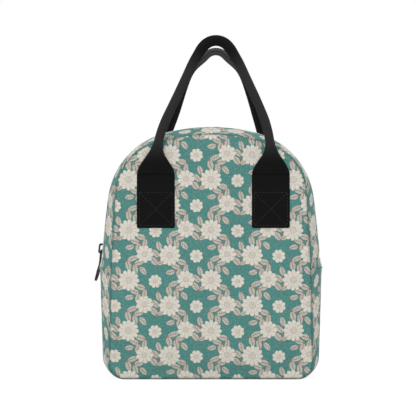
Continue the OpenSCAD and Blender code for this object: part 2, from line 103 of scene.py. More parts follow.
class Finish:
    """The nodes of one material, or of the world."""

    def __init__(self, owner):
        owner.use_nodes = True
        self.owner = owner
        self.tree = owner.node_tree
        self.tree.nodes.clear()

    def node(self, kind, settings, sockets, out=0):
        """Adds a node. Its settings come first, then the values or links of its sockets."""
        new = self.tree.nodes.new("ShaderNode" + kind)
        for name, value in settings.items():
            setattr(new, name, value)
        for name, value in sockets.items():
            if isinstance(value, Shade):
                self.tree.links.new(value.socket, new.inputs[name])
            else:
                new.inputs[name].default_value = value
        return Shade(self, new.outputs[out]) if len(new.outputs) else None

    def math(self, operation, *values):
        return self.node("Math", {"operation": operation}, dict(enumerate(values)))

    def clamp(self, value):
        return self.node("Math", {"operation": "ADD", "use_clamp": True}, {0: value, 1: 0.0})

    def speckle(self, place, scale, detail=2, **more):
        """Uneven noise around one half, with scale grains to the metre."""
        return self.node("TexNoise", {}, {"Vector": place, "Scale": scale, "Detail": detail, **more})

    def part(self, vector, axis):
        return self.node("SeparateXYZ", {}, {"Vector": vector}, out=axis)

    def mix(self, share, first, second):
        """The first colour where share is 0, the second where it is 1."""
        return self.node("Mix", {"data_type": "RGBA"}, {0: share, 6: first, 7: second}, out=2)

    def surface(self, height, **sockets):
        """Ends a material in one surface. height is its fine relief, in metres."""
        named = {name.replace("_", " "): value for name, value in sockets.items()}
        named["Normal"] = self.node("Bump", {}, {"Height": height, "Distance": 1.0, "Strength": 1.0})
        shader = self.node("BsdfPrincipled", {}, named)
        self.node("OutputMaterial", {}, {"Surface": shader})
        return self.owner


def material(name):
    return Finish(bpy.data.materials.new(name))


def colour(code):
    """A colour written as six hexadecimal digits of sRGB, as linear light."""
    parts = [int(code[i:i + 2], 16) / 255 for i in (0, 2, 4)]
    return [p / 12.92 if p <= 0.04045 else ((p + 0.055) / 1.055) ** 2.4 for p in parts] + [1.0]


white = colour("ffffff")
room_light = 0.62
floor_half = 6.0
shadow_kept = 0.16
floor_glow = 1.08

room_world = bpy.data.worlds.new("studio")
scene.world = room_world
room = Finish(room_world)
seen = room.clamp(room.node("LightPath", {}, {}, out="Is Camera Ray")
                  + room.node("LightPath", {}, {}, out="Is Glossy Ray")
                  + room.node("LightPath", {}, {}, out="Is Transmission Ray"))
lit_room = room.node("Background", {}, {"Color": white, "Strength": room_light})
seen_room = room.node("Background", {}, {"Color": white, "Strength": 1.0})
room.node("OutputWorld", {}, {"Surface": room.node("MixShader", {}, {0: seen, 1: lit_room, 2: seen_room})})

floor_mesh = bpy.data.meshes.new("studio_floor")
floor_corners = [(x * floor_half, y * floor_half, 0) for x, y in ((-1, -1), (1, -1), (1, 1), (-1, 1))]
floor_mesh.from_pydata(floor_corners, [], [(0, 1, 2, 3)])
floor = put("studio_floor", floor_mesh)
paper = material("studio_paper")
matt = paper.node("BsdfDiffuse", {}, {"Color": colour("f4f4f4")})
glow = paper.node("Emission", {}, {"Color": white, "Strength": floor_glow})
kept = paper.node("LightPath", {}, {}, out="Is Camera Ray") * (1 - shadow_kept)
paper.node("OutputMaterial", {}, {"Surface": paper.node("MixShader", {}, {0: kept, 1: matt, 2: glow})})
floor_mesh.materials.append(paper.owner)

for lamp_name, place, width, watts in (("lamp_front", (-0.7, -1.9, 1.3), 1.6, 17),
                                       ("lamp_top", (0.5, 0.2, 1.8), 1.6, 9)):
    lamp_data = bpy.data.lights.new(lamp_name, "AREA")
    lamp_data.size = width
    lamp_data.energy = watts
    lamp = put(lamp_name, lamp_data)
    lamp.location = place
    lamp.rotation_euler = (Vector((0, 0, 0.15)) - Vector(place)).to_track_quat("-Z", "Y").to_euler()

# Body shell: the arched panels at front and back, and the gusset that swells out between them. It is
# sewn as one skin, and a little air pressure rounds it over its foam while the seams hold it in.
SIDES = (("front", -1), ("back", 1))
body_depth = 126 * mm
panel_y = body_depth / 2
fabric_t = 0.8 * mm
fabric_y = panel_y - fabric_t
waist_z = 112 * mm
waist_r = 60 * mm
fold_z = 120 * mm
zip_slot_half = 6 * mm
slot_reach = zip_slot_half + 0.1 * mm
bulge_power = 2.6
# half is the half width at the waist. The side leans in by upper above the waist and by lower below
# it, and the top arc reaches sweep to each side.
Outline = namedtuple("Outline", "half upper lower foot_r top_r sweep height")
PANEL = Outline(100.8 * mm, radians(3.1), radians(1.1), 16 * mm, 186 * mm, radians(18), 246.7 * mm)
CROWN = Outline(114 * mm, radians(6.8), radians(-2), 18 * mm, 192 * mm, radians(14), 255 * mm)
# Steps along the base, foot, lower side, waist, rest of the waist, upper side, shoulder and top
STEPS = (22, 8, 22, 3, 1, 15, 24, 12)
fold_at = sum(STEPS[:5])
half_count = sum(STEPS) + 1
loop_count = 2 * (half_count - 1)


def ray(angle):
    return np.array([cos(angle), sin(angle)])


def arcs(shape):
    """The centres of the foot, waist, shoulder and top arcs of an outline, and the shoulder's radius."""
    half, upper, lower, foot_r, top_r, sweep, height = shape
    upper_reach = ray(upper) @ (half, waist_z)
    lower_reach = ray(lower) @ (half, waist_z)
    foot = np.array([(lower_reach - foot_r - sin(lower) * foot_r) / cos(lower), foot_r])
    a = lower_reach - waist_r
    b = upper_reach - waist_r
    waist = np.array([a * sin(upper) - b * sin(lower), b * cos(lower) - a * cos(upper)])
    waist /= sin(upper - lower)
    top = np.array([0, height - top_r])
    start = pi / 2 - sweep
    shoulder_end = top + top_r * ray(start)
    shoulder_r = (upper_reach - ray(upper) @ shoulder_end) / (1 - cos(start - upper))
    return foot, waist, shoulder_end - shoulder_r * ray(start), top, shoulder_r


def side_point(shape, inset, z):
    """The point of the upper side at a height."""
    reach = ray(shape.upper) @ (shape.half, waist_z) - inset
    return np.array([(reach - sin(shape.upper) * z) / cos(shape.upper), z])


def half_outline(shape, inset):
    """The right half of an outline, as (x, z) from the middle of the base to the middle of the top."""
    foot, waist, shoulder, top, shoulder_r = arcs(shape)

    def arc(centre, radius, start, end, steps):
        return [centre + (radius - inset) * ray(start + (end - start) * i / steps)
                for i in range(1, steps + 1)]

    def line(start, end, steps):
        return [start + (end - start) * i / steps for i in range(1, steps + 1)]

    points = [np.array([0, inset])]
    points += line(points[-1], np.array([foot[0], inset]), STEPS[0])
    points += arc(foot, shape.foot_r, -pi / 2, shape.lower, STEPS[1])
    points += line(points[-1], waist + (waist_r - inset) * ray(shape.lower), STEPS[2])
    points += arc(waist, waist_r, shape.lower, shape.upper, STEPS[3])
    points += line(points[-1], side_point(shape, inset, fold_z), STEPS[4])
    points += line(points[-1], shoulder + (shoulder_r - inset) * ray(shape.upper), STEPS[5])
    points += arc(shoulder, shoulder_r, shape.upper, pi / 2 - shape.sweep, STEPS[6])
    points += arc(top, shape.top_r, pi / 2 - shape.sweep, pi / 2, STEPS[7])
    return np.array(points)


def mirrored(half):
    """The whole outline: up the right side, over the top and down the left side."""
    return np.concatenate([half, half[-2:0:-1] * (-1, 1)])


def bulge_at(y):
    """How far the gusset has grown at a depth, from the panel's outline (0) to the crown's (1)."""
    return max(0.0, 1 - abs(y / fabric_y) ** bulge_power)


def loop_at(y, inset):
    """The bag's outline at a depth, as a closed loop."""
    edge = half_outline(PANEL, inset)
    whole = mirrored(edge + (half_outline(CROWN, inset) - edge) * bulge_at(y))
    return np.insert(whole, 1, y, axis=1)


def along(loop):
    """Length along a closed loop, measured from the middle of the top."""
    steps = np.linalg.norm(np.roll(loop, -1, axis=0) - loop, axis=1)
    length = np.concatenate([[0], np.cumsum(steps)[:-1]])
    return length - length[half_count - 1]


seam_in = 1.4 * mm
seam_line_in = seam_in * 0.8
pucker = 0.3 * mm
pucker_len = 7 * mm
gusset_steps = 14
rim_w = 2 * mm
lattice = 4.2 * mm
seam_shade_mark = 1 * mm
edge_row = fabric_y - 2.2 * mm
side_rows = np.linspace(edge_row, zip_slot_half, gusset_steps + 1)
row_y = np.concatenate([[-panel_y + seam_in], -side_rows, [-zip_slot_half / 3, zip_slot_half / 3],
                        side_rows[::-1], [panel_y - seam_in]])
row_count = len(row_y)
gusset_rows = []
# Places on the flat cloth, across and along. The third number marks the seams, where painted shade darkens
# the cloth
gusset_cloth = []
for row, y in enumerate(row_y):
    inset, seam_shade = (seam_line_in, seam_shade_mark) if row in (0, row_count - 1) else (0.0, 0.0)
    loop = loop_at(y, inset)
    gusset_rows.append(loop)
    gusset_cloth.append(np.column_stack([along(loop), np.full(loop_count, y), np.full(loop_count, seam_shade)]))
shell_points = np.concatenate(gusset_rows)
shell_cloth = np.concatenate(gusset_cloth)


def quads(rows, stations, closed):
    """Faces between neighbouring rows of points that lie side by side."""
    last = stations if closed else stations - 1
    return [(j * stations + i, (j + 1) * stations + i,
             (j + 1) * stations + (i + 1) % stations, j * stations + (i + 1) % stations)
            for j in range(rows - 1) for i in range(last)]


def facing(faces, kept):
    """Faces as they are, or turned over."""
    return faces if kept else [face[::-1] for face in faces]


# Rows of an even net of triangles, as a share of its spacing
row_share = 0.866


def panel_net(seam_inset, rim_inset, spacing):
    """Points and triangles that fill a panel: its seam, a rim just inside it, and an even net."""
    edges = [mirrored(half_outline(PANEL, inset)) for inset in (seam_inset, rim_inset)]
    inner = half_outline(PANEL, rim_inset + 0.6 * spacing)
    z = inner[0][1]
    odd = False
    grid = []
    while z < inner[-1][1]:
        reach = np.interp(z, inner[STEPS[0]:, 1], inner[STEPS[0]:, 0])
        most = int(reach / spacing) + 1
        row = [(k + 0.5 * odd) * spacing for k in range(-most, most + 1)]
        grid += [(x, z) for x in row if abs(x) < reach]
        z += spacing * row_share
        odd = not odd
    points = np.concatenate(edges + [np.array(grid)])
    border = [(i, (i + 1) % loop_count) for i in range(loop_count)]
    found = delaunay_2d_cdt([Vector(p) for p in points], border, [], 1, 1e-7)
    origin = [ids[0] for ids in found[3]]
    faces = [tuple(origin[k] for k in face) for face in found[2]]
    return points, faces


shell_faces = {"gusset": quads(row_count, loop_count, True)}
panel_cloth = {}
for side, sign in SIDES:
    net, triangles = panel_net(seam_line_in, seam_in + rim_w, lattice)
    seam_start = 0 if sign < 0 else (row_count - 1) * loop_count
    first = len(shell_points) - loop_count
    inside = net[loop_count:]
    ripple = np.zeros(len(inside))
    for i in range(loop_count):
        ripple[i] = pucker * noise.noise(Vector((inside[i][0], sign, inside[i][1])) / pucker_len)
    placed = np.column_stack([inside[:, 0], sign * (panel_y + ripple), inside[:, 1]])
    shell_points = np.concatenate([shell_points, placed])
    shell_cloth = np.concatenate([shell_cloth, np.column_stack([inside, np.zeros(len(inside))])])
    faces = [tuple(seam_start + k if k < loop_count else first + k for k in face) for face in triangles]
    shell_faces[side] = facing(faces, sign < 0)
    # The seam belongs to both cloths, and on the panel's cloth it lies along the panel's own edge
    panel_cloth[side] = shell_cloth.copy()
    panel_cloth[side][seam_start:seam_start + loop_count, :2] = net[:loop_count]

frames = 20
pressure = 4
panel_swell = 4.5 * mm
gusset_swell = 1.6 * mm
most_inward = 0.3 * mm
pressed_share = 0.02
patch_half = 57.5 * mm
sewn_off = 2.3 * mm
webbing_w = 38 * mm
patch_z = 152 * mm
handle_relief = 26 * mm


def held(row, i):
    """Held still: the seams, the base, the line where the zip ends, and the edges beside the zip."""
    from_base = min(i, loop_count - i)
    beside_zip = abs(row_y[row]) < slot_reach and from_base >= fold_at
    return (row in (0, row_count - 1) or from_base < STEPS[0] + 3 or abs(from_base - fold_at) < 2
            or beside_zip)


def eased(t):
    """A smooth rise from 0 to 1 while t goes from 0 to 1."""
    t = np.clip(t, 0, 1)
    return t * t * (3 - 2 * t)


def swell(points, faces, pinned):
    """Where the skin comes to rest under a little air pressure, run as cloth."""
    mesh = bpy.data.meshes.new("skin")
    mesh.from_pydata(points.tolist(), [], faces)
    skin = put("skin", mesh)
    skin.vertex_groups.new(name="held").add(pinned, 1.0, "REPLACE")
    cloth = skin.modifiers.new("Cloth", "CLOTH")
    settings = cloth.settings
    settings.quality = 5
    settings.mass = 0.2
    settings.tension_stiffness = 25
    settings.compression_stiffness = 25
    settings.bending_stiffness = 0.6
    settings.shrink_min = -0.012
    settings.vertex_group_mass = "held"
    settings.use_pressure = True
    settings.uniform_pressure_force = pressure
    settings.effector_weights.gravity = 0
    cloth.point_cache.frame_end = frames
    for number in range(1, frames + 1):
        scene.frame_set(number)
    rested = skin.evaluated_get(bpy.context.evaluated_depsgraph_get()).data
    result = np.array([v.co for v in rested.vertices])
    scene.frame_set(1)
    bpy.data.objects.remove(skin)
    return result


shell_normals = np.zeros_like(shell_points)
for face in sum(shell_faces.values(), []):
    corners = shell_points[list(face)]
    shell_normals[list(face)] += np.cross(corners[1] - corners[0], corners[2] - corners[0])
shell_normals /= np.linalg.norm(shell_normals, axis=1)[:, None]
pinned = [row * loop_count + i for row in range(row_count) for i in range(loop_count) if held(row, i)]
moved = swell(shell_points, sum(shell_faces.values(), []), pinned) - shell_points
size = np.linalg.norm(moved, axis=1)
gusset_end = row_count * loop_count
most = np.full(len(size), panel_swell)
most[:gusset_end] = gusset_swell
# The handles press the panels flat where they are sewn on and where they lie against them
beside = np.maximum(0, abs(abs(shell_points[:, 0] - sewn_off) - patch_half) - webbing_w / 2)
below = np.maximum(0, patch_z - shell_points[:, 2])
most[gusset_end:] *= eased(np.hypot(beside, below) / handle_relief)[gusset_end:] + pressed_share
moved *= (most * np.tanh(size / most) / np.maximum(size, 1e-9))[:, None]
outward = np.sum(moved * shell_normals, axis=1)
moved += shell_normals * np.maximum(0, -most_inward - outward)[:, None]
shell_points = shell_points + moved


def piece(name, points, faces, finish, cloth=None, thick=0.0, smooth=1, offset=-1.0):
    """A new object. cloth is each point's place on the flat material; thick adds body behind it."""
    mesh = bpy.data.meshes.new(name)
    mesh.from_pydata(np.asarray(points).tolist(), [], [tuple(face) for face in faces])
    for polygon in mesh.polygons:
        polygon.use_smooth = True
    if cloth is not None:
        flat = mesh.attributes.new("cloth", "FLOAT_VECTOR", "POINT")
        flat.data.foreach_set("vector", np.asarray(cloth, np.float32).ravel())
    mesh.materials.append(finish)
    made = put(name, mesh)
    if smooth:
        rounding = made.modifiers.new("rounding", "SUBSURF")
        rounding.levels = smooth
        rounding.render_levels = smooth
    if thick:
        body = made.modifiers.new("thickness", "SOLIDIFY")
        body.thickness = thick
        body.offset = offset
    return made


def cut(name, faces, finish, thick, cloth=shell_cloth):
    """A piece cut out of the rested skin."""
    used = sorted({k for face in faces for k in face})
    new = {k: n for n, k in enumerate(used)}
    return piece(name, shell_points[used], [[new[k] for k in face] for face in faces], finish,
                 cloth[used], thick)


def hinge(made):
    """Bakes a piece's placement into its mesh."""
    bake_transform(made)


# Printed cover: a strong plain-woven polyester in teal, printed with cream daisies and leaf sprigs.
# The print is a half-drop repeat: every second column of tiles sits half a tile off.
tile_w = 41 * mm
tile_h = 50 * mm
soft = 0.3 * mm
stem_half = 0.38 * mm
midrib_half = 0.28 * mm
vein_pitch = 2.1 * mm
eye_line_half = 0.45 * mm
thread_pitch = 0.55 * mm
teal = colour("55928c")
teal_dark = colour("47837d")
cream = colour("e8e1d5")
cream_shade = colour("cac2b4")
leaf_cream = colour("dad1c4")
taupe = colour("8b7870")
# The next colour darkens the cloth's grain, and is also the painted shade in the seams
grain_and_seam_shade = colour("2e4a46")
# Daisies as place in the tile and radius in mm, petals, and turn
DAISIES = ((0, 0, 10.7, 12, 0.3), (16, 26, 8.8, 9, 1.1), (26.5, -1, 6.8, 8, 0.7))
# Sprigs as the foot's place in the tile and length in mm, direction in degrees, and bend in mm
SPRIGS = ((-5, 20, 26, -31, 2.2), (-13.5, -13, 26, 86, -2.2), (19, -6, 25, 209, 2))
# Leaves of a sprig as start and length, both as shares of the stem, and lift in radians
LEAVES = ((0.12, 0.44, 0.85), (0.42, 0.4, 0.8), (0.66, 0.38, 0.0))
leaf_width = 0.22
stem_end = 0.75


def flat_place(finish):
    """Where a point lies on the flat cloth: across and along in metres, and the place itself."""
    place = finish.node("Attribute", {"attribute_name": "cloth"}, {}, out="Vector")
    return finish.part(place, "X"), finish.part(place, "Y"), place


def from_motif(finish, u, v, x, y):
    """The way across and along to a place from the nearest repeat of a motif."""
    column = finish.math("ROUND", (u - x * mm) / tile_w)
    drop = finish.math("PINGPONG", column, 1.0) * (tile_h / 2)
    lift = v - y * mm + drop
    return u - x * mm - column * tile_w, lift - finish.math("ROUND", lift / tile_h) * tile_h


def daisy(finish, u, v, spec):
    """Masks of one daisy: its bloom, the lines between petals and round the eye, and ribs and eye."""
    x, y, radius, petals, turn = spec
    radius *= mm
    notch_r = radius * 0.74
    eye_r = radius * 0.3
    du, dv = from_motif(finish, u, v, x, y)
    reach = finish.math("SQRT", du * du + dv * dv)
    angle = finish.math("ARCTAN2", dv, du) + turn
    wave = abs(finish.math("SINE", angle * (petals / 2)))
    bloom = finish.clamp((notch_r + wave ** 0.6 * (radius * 0.26) - reach) / soft)
    gap = finish.clamp((0.2 - wave) / 0.1) * (reach > radius * 0.34)
    rib = abs(finish.math("SINE", angle * (petals * 1.5))) < 0.16
    rib = rib * (reach > radius * 0.45) * (reach < notch_r)
    eye = finish.clamp((eye_r - reach) / soft)
    ring = finish.clamp(1 - abs(reach - eye_r) / eye_line_half)
    return bloom, finish.math("MAXIMUM", gap, ring), finish.math("MAXIMUM", rib, eye)


def leaf(finish, a, b, start, length, width, lift):
    """Masks of a leaf that leaves a stem at start: the blade, and its veins."""
    da = a - start
    along_leaf = da * cos(lift) + b * sin(lift)
    across = abs(b * cos(lift) - da * sin(lift))
    t = along_leaf / length
    half = finish.math("MAXIMUM", t * (1 - t) * 4, 0.0) ** 0.8 * (width / 2)
    blade = finish.clamp((half - across) / soft)
    side_veins = finish.math("FRACT", (along_leaf - across * 0.9) / vein_pitch) < 0.2
    return blade, finish.math("MAXIMUM", across < midrib_half, side_veins)


def sprig(finish, u, v, spec):
    """Masks of a stem with two pairs of leaves and one at its tip: blades, veins and the stem."""
    x, y, length, direction, bend = spec
    c = cos(radians(direction))
    s = sin(radians(direction))
    du, dv = from_motif(finish, u, v, x + c * length / 2, y + s * length / 2)
    length *= mm
    a = du * c + dv * s + length / 2
    share = a / length
    pair = abs(dv * c - du * s - share * (1 - share) * (4 * bend * mm))
    stem = (pair < stem_half) * (a > 0) * (a < length * stem_end)
    blades = veins = 0.0
    for start, size, lift in LEAVES:
        blade, vein = leaf(finish, a, pair, start * length, size * length, leaf_width * length, lift)
        blades = finish.math("MAXIMUM", blades, blade)
        veins = finish.math("MAXIMUM", veins, vein * blade)
    return blades, veins, stem


def weave(finish, u, v, pitch, depth):
    """Relief of a plain weave: threads that pass over and under each other."""
    turn = 2 * pi / pitch
    return (finish.math("SINE", u * turn) * finish.math("SINE", v * turn) + 1) * (depth / 2)


def printed_cloth():
    finish = material("printed_cloth")
    u, v, place = flat_place(finish)
    drift = finish.speckle(place, 160) - 0.5
    u_print = u + drift * (0.9 * mm)
    v_print = v + drift * (-0.7 * mm)
    grain = finish.speckle(place, 1000, 3)
    tone = finish.speckle(place, 26, 3)
    slub = finish.speckle(place, 520, 4, Roughness=0.7)
    ground = finish.mix(tone, teal_dark, teal)
    petal = finish.mix(finish.clamp((grain - 0.5) * 3.2), cream, cream_shade)
    half_tone = finish.mix(finish.clamp((grain - 0.5) * 3), leaf_cream, taupe)
    for spec in SPRIGS:
        blades, veins, stem = sprig(finish, u_print, v_print, spec)
        ground = finish.mix(stem, ground, taupe)
        ground = finish.mix(blades, ground, half_tone)
        ground = finish.mix(veins, ground, taupe)
    for spec in DAISIES:
        bloom, lines, marks = daisy(finish, u_print, v_print, spec)
        bloom_colour = finish.mix(lines * 0.55, finish.mix(marks * 0.22, petal, taupe), taupe)
        ground = finish.mix(bloom, ground, bloom_colour)
    # The cloth's grain shows through the print, and painted shade darkens the cloth in the crease of the
    # seams
    ground = finish.mix(finish.clamp((0.6 - grain) * 2.6) * 0.22, ground, grain_and_seam_shade)
    ground = finish.mix(finish.clamp((0.5 - slub) * 5) * 0.28, ground, grain_and_seam_shade)
    ground = finish.mix(finish.clamp((slub - 0.5) * 5) * 0.14, ground, cream)
    seam_shade = finish.part(place, "Z") / seam_shade_mark
    ground = finish.mix(finish.clamp(seam_shade * seam_shade) * 0.6, ground, grain_and_seam_shade)
    relief = weave(finish, u, v, thread_pitch, 0.06 * mm) + tone * (0.25 * mm)
    return finish.surface(relief, Base_Color=ground, Roughness=grain * 0.12 + 0.76,
                          Sheen_Weight=0.03, Sheen_Roughness=0.5, Specular_IOR_Level=0.25)


printed = printed_cloth()
for side, _ in SIDES:
    cover = cut(f"{side}_panel_cover", shell_faces[side], printed, fabric_t, panel_cloth[side])
    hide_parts(f"{side}_panel_lower", f"{side}_panel_upper")
    hinge(cover)

# Gusset strips: the same printed cloth. One strip makes both lower sides and the base, and its turned
# top edge laps over the ends of the two zip strips, which run up and over the top beside the zip.
hem_proud = 0.8 * mm
hem_rows = 4


def strip_faces(keep):
    """Faces of the gusset whose row and station pass a test."""
    return [face for face in shell_faces["gusset"] if keep(face[0] // loop_count, face[0] % loop_count)]


lower_strip = strip_faces(lambda row, i: i < fold_at or i >= loop_count - fold_at)
flat_shell = shell_points.copy()
for row, y in enumerate(row_y):
    for step in range(hem_rows + 1):
        proud = hem_proud * min(1.0, 0.25 + 0.75 * step) * bulge_at(y) ** 0.5
        for i in (fold_at - hem_rows + step, loop_count - fold_at + hem_rows - step):
            k = row * loop_count + i
            shell_points[k] += shell_normals[k] * proud
base_cover = cut("base_gusset_cover", lower_strip, printed, fabric_t)
shell_points = flat_shell
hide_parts("base_gusset")
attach(base_cover, "base")

tucked = 1
slot_edge = [k for k in range(row_count) if abs(row_y[k]) < slot_reach]
for side, first_row, last_row in (("front", 0, slot_edge[0]), ("back", slot_edge[-1], row_count - 1)):
    strip = strip_faces(lambda row, i: first_row <= row < last_row
                        and fold_at - tucked <= i < loop_count - fold_at + tucked)
    cover = cut(f"zip_gusset_{side}_cover", strip, printed, fabric_t)
    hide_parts(f"zip_gusset_{side}")
    hinge(cover)

# Foam: white closed-cell sheet behind every part of the cover, cut short of the seams. It is hidden
# between the cover and the lining, and pressed thinner in the panels, which bend when the bag opens.
glue_t = 0.05 * mm
foam_t = 4 * mm
foam_in = fabric_t + glue_t
foam_y = fabric_y - glue_t - foam_t
tape_back_y = 12.5 * mm
foam_end_y = tape_back_y + 1.5 * mm
foam_short = 4 * mm
pressed_t = 2.8 * mm
inner_spacing = 9 * mm
sheet_rim = 3 * mm
middle_z = 127 * mm
panel_wrinkle_len = 22 * mm
gusset_wrinkle_len = 17 * mm
half_span = 100 * mm


def cell_foam():
    finish = material("cell_foam")
    place = finish.node("TexCoord", {}, {}, out="Object")
    cells = finish.node("TexVoronoi", {}, {"Vector": place, "Scale": 900.0}, out="Distance")
    tone = finish.speckle(place, 40)
    return finish.surface(cells * (0.25 * mm), Roughness=cells * 0.2 + 0.7,
                          Base_Color=finish.mix(tone, colour("e9e9e4"), colour("f4f4f0")))


def panel_sheet(name, sign, inset, y_out, thick, finish, wrinkle):
    """A flat sheet behind a panel, cut to its outline, with soft wrinkles if it is thin."""
    points, faces = panel_net(inset, inset + sheet_rim, inner_spacing)
    lift = [wrinkle * noise.noise(Vector((x, sign, z)) / panel_wrinkle_len) for x, z in points]
    placed = [(x, sign * (y_out - abs(w)), z) for (x, z), w in zip(points, lift)]
    return piece(name, placed, facing(faces, sign < 0), finish, np.insert(points, 2, 0, axis=1), thick)


def gusset_sheet(name, stations, upper, thick, finish, wrinkle=0.0, cap=1):
    """A sheet under the gusset. Stations are (depth, how far in); upper is the part above the fold.

    cap is how many steps an upper sheet reaches below the fold. A wrinkle draws the sheet inwards.
    """
    loops = [loop_at(y, inset) for y, inset in stations]
    lengths = [along(loop) for loop in loops]
    if upper:
        keep = list(range(fold_at - cap, loop_count - fold_at + cap + 1))
    else:
        keep = list(range(loop_count - fold_at, loop_count)) + list(range(fold_at + 1))
    points = []
    cloth = []
    for (y, inset), loop, length in zip(stations, loops, lengths):
        for i in keep:
            x, _, z = loop[i]
            fold = 1 - wrinkle * abs(noise.noise(Vector((x, y, z)) / gusset_wrinkle_len)) / half_span
            points.append((x * fold, y, middle_z + (z - middle_z) * fold))
            cloth.append((length[i], y, 0))
    return piece(name, points, quads(len(stations), len(keep), False), finish, cloth, thick)


def spread(start, end, inset, steps=8):
    """Even stations from one depth to another."""
    return [(start + (end - start) * i / steps, inset) for i in range(steps + 1)]


def follow(made, side):
    """A piece goes with the base or, where a side is given, has its placement baked into its mesh."""
    if side:
        hinge(made)
    else:
        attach(made, "base")


def layer(kind, finish, base, panel, run, thick, wrinkle=0.0):
    """The sheets of one layer, each with its side, or None for the base, and the nodes it stands for.

    base and run are the stations of the lower strip and of a zip strip. panel is how far in a panel's
    sheet is cut, the depth of its face, and its thickness.
    """
    lower = gusset_sheet(f"base_gusset_{kind}_sheet", base, False, thick, finish, wrinkle)
    sheets = [(lower, None, [f"base_gusset_{kind}"])]
    for side, sign in SIDES:
        sheet = panel_sheet(f"{side}_panel_{kind}_sheet", sign, *panel, finish, wrinkle)
        sheets.append((sheet, side, [f"{side}_panel_lower_{kind}", f"{side}_panel_upper_{kind}"]))
        stations = sorted((sign * y, inset) for y, inset in run)
        strip = gusset_sheet(f"zip_gusset_{side}_{kind}_sheet", stations, True, thick, finish, cap=0)
        sheets.append((strip, side, [f"zip_gusset_{side}_{kind}"]))
    return sheets


foam_base = spread(-foam_y, foam_y, foam_in, 14)
foam_run = spread(foam_y, foam_end_y, foam_in)
foam_panel = (foam_short, fabric_y - glue_t, pressed_t)
for sheet, side, nodes in layer("foam", cell_foam(), foam_base, foam_panel, foam_run, foam_t):
    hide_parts(*nodes)
    follow(sheet, side)

# Lining: thin crinkled silver foil laminated on cloth, in the same cuts as the cover. Along the zip it
# is turned up to the tape.
lining_t = 0.5 * mm
lining_in = foam_in + foam_t + glue_t
lining_y = foam_y - glue_t - lining_t
inside_in = lining_in + lining_t + glue_t
tape_t = 0.6 * mm


def silver_foil():
    finish = material("silver_foil")
    u, v, place = flat_place(finish)
    creases = finish.node("TexVoronoi", {"feature": "DISTANCE_TO_EDGE"}, {"Vector": place, "Scale": 95.0},
                          out="Distance")
    crush = finish.speckle(place, 220, 4)
    relief = finish.clamp(creases * 6) * (0.35 * mm) + crush * (0.3 * mm)
    relief = relief + weave(finish, u, v, 1.2 * mm, 0.05 * mm)
    return finish.surface(relief, Base_Color=finish.mix(crush, colour("b9bdc1"), colour("dcdfe2")),
                          Metallic=0.85, Roughness=crush * 0.25 + 0.2)


foil_wrinkle = 1.1 * mm
foil_end_y = zip_slot_half + 2 * mm
under_tape = foam_in + tape_t + 2 * glue_t
foil_base = spread(-lining_y, lining_y, lining_in, 20)
foil_run = spread(lining_y, foam_end_y, lining_in, 10)
foil_run += [(tape_back_y, under_tape), (foil_end_y, under_tape)]
foil_panel = (lining_in, foam_y - glue_t, lining_t)
for sheet, side, nodes in layer("lining", silver_foil(), foil_base, foil_panel, foil_run, lining_t,
                                foil_wrinkle):
    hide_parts(*nodes)
    follow(sheet, side)

# Seam binding: black twill tape folded over the raw edges inside, one loop at the front and one at
# the back, sewn through the gusset's lining.
binding_w = 8 * mm
binding_t = 1.4 * mm


def black_tape(name, pitch, shade):
    finish = material(name)
    u, v, place = flat_place(finish)
    wear = finish.speckle(place, 90, 3)
    rib = finish.math("SINE", (u + v) * (2 * pi / pitch)) * (0.05 * mm)
    cross = finish.math("SINE", v * (2 * pi / (pitch * 0.7))) * (0.04 * mm)
    return finish.surface(rib + cross, Base_Color=finish.mix(wear, colour(shade), colour("2b2b2c")),
                          Roughness=wear * 0.2 + 0.65, Sheen_Weight=0.1)


twill = black_tape("binding_twill", 0.9 * mm, "151515")
# How far the tape stands off the lining across its width, as shares of its thickness
hump = (0.0, 0.8, 1.0, 1.0, 0.8, 0.0)
hump_steps = len(hump) - 1
around = [(lining_y - glue_t - binding_w * k / hump_steps, inside_in + binding_t * rise)
          for k, rise in enumerate(hump)]
around += [(y, inside_in) for y, _ in around[-2:0:-1]]
for side, sign in SIDES:
    points = []
    cloth = []
    for k, (y, inset) in enumerate(around):
        loop = loop_at(sign * y, inset)
        points += loop.tolist()
        cloth += [(s, k * binding_w / hump_steps, 0) for s in along(loop)]
    net = [[k % len(points) for k in face] for face in quads(len(around) + 1, loop_count, True)]
    binding = piece(f"{side}_seam_binding", points, net, twill, cloth)
    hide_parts(f"{side}_binding_lower", f"{side}_binding_upper")
    hinge(binding)

# Zip: two knitted black tapes, sewn under the edges of the zip strips, each with a row of moulded
# teeth that follows the arch of the bag from one end of the slot to the other.
tooth_gap = 1 * mm
tooth_w = 2.1 * mm
tooth_h = 2.4 * mm
tooth_pitch = 3 * mm
tape_edge_y = tooth_gap / 2 + tooth_w
tape_lines = (tape_back_y, 10 * mm, 8 * mm, 6 * mm, 4.2 * mm, tape_edge_y)
slider_rise = 9.5 * mm
slider_len = 11 * mm
play = 0.3 * mm


def moulded(name, dark, light):
    finish = material(name)
    place = finish.node("TexCoord", {}, {}, out="Object")
    flow = finish.speckle(place, 700)
    return finish.surface(flow * (0.03 * mm), Base_Color=finish.mix(flow, colour(dark), colour(light)),
                          Roughness=flow * 0.2 + 0.28)


side_lean = CROWN.upper
top_start = pi / 2 - CROWN.sweep
_, _, shoulder, top, shoulder_r = arcs(CROWN)
side_len = (shoulder[1] + shoulder_r * sin(side_lean) - fold_z) / cos(side_lean)
shoulder_len = shoulder_r * (top_start - side_lean)
half_arch = side_len + shoulder_len + CROWN.top_r * CROWN.sweep


def arch(length, inset):
    """A point on the zip's line, a length from the right end of the slot, and its outward angle."""
    if length < side_len:
        upward = np.array([-sin(side_lean), cos(side_lean)])
        return side_point(CROWN, inset, fold_z) + length * upward, side_lean
    if length < side_len + shoulder_len:
        angle = side_lean + (length - side_len) / shoulder_r
        return shoulder + (shoulder_r - inset) * ray(angle), angle
    angle = top_start + (length - side_len - shoulder_len) / CROWN.top_r
    return top + (CROWN.top_r - inset) * ray(angle), angle


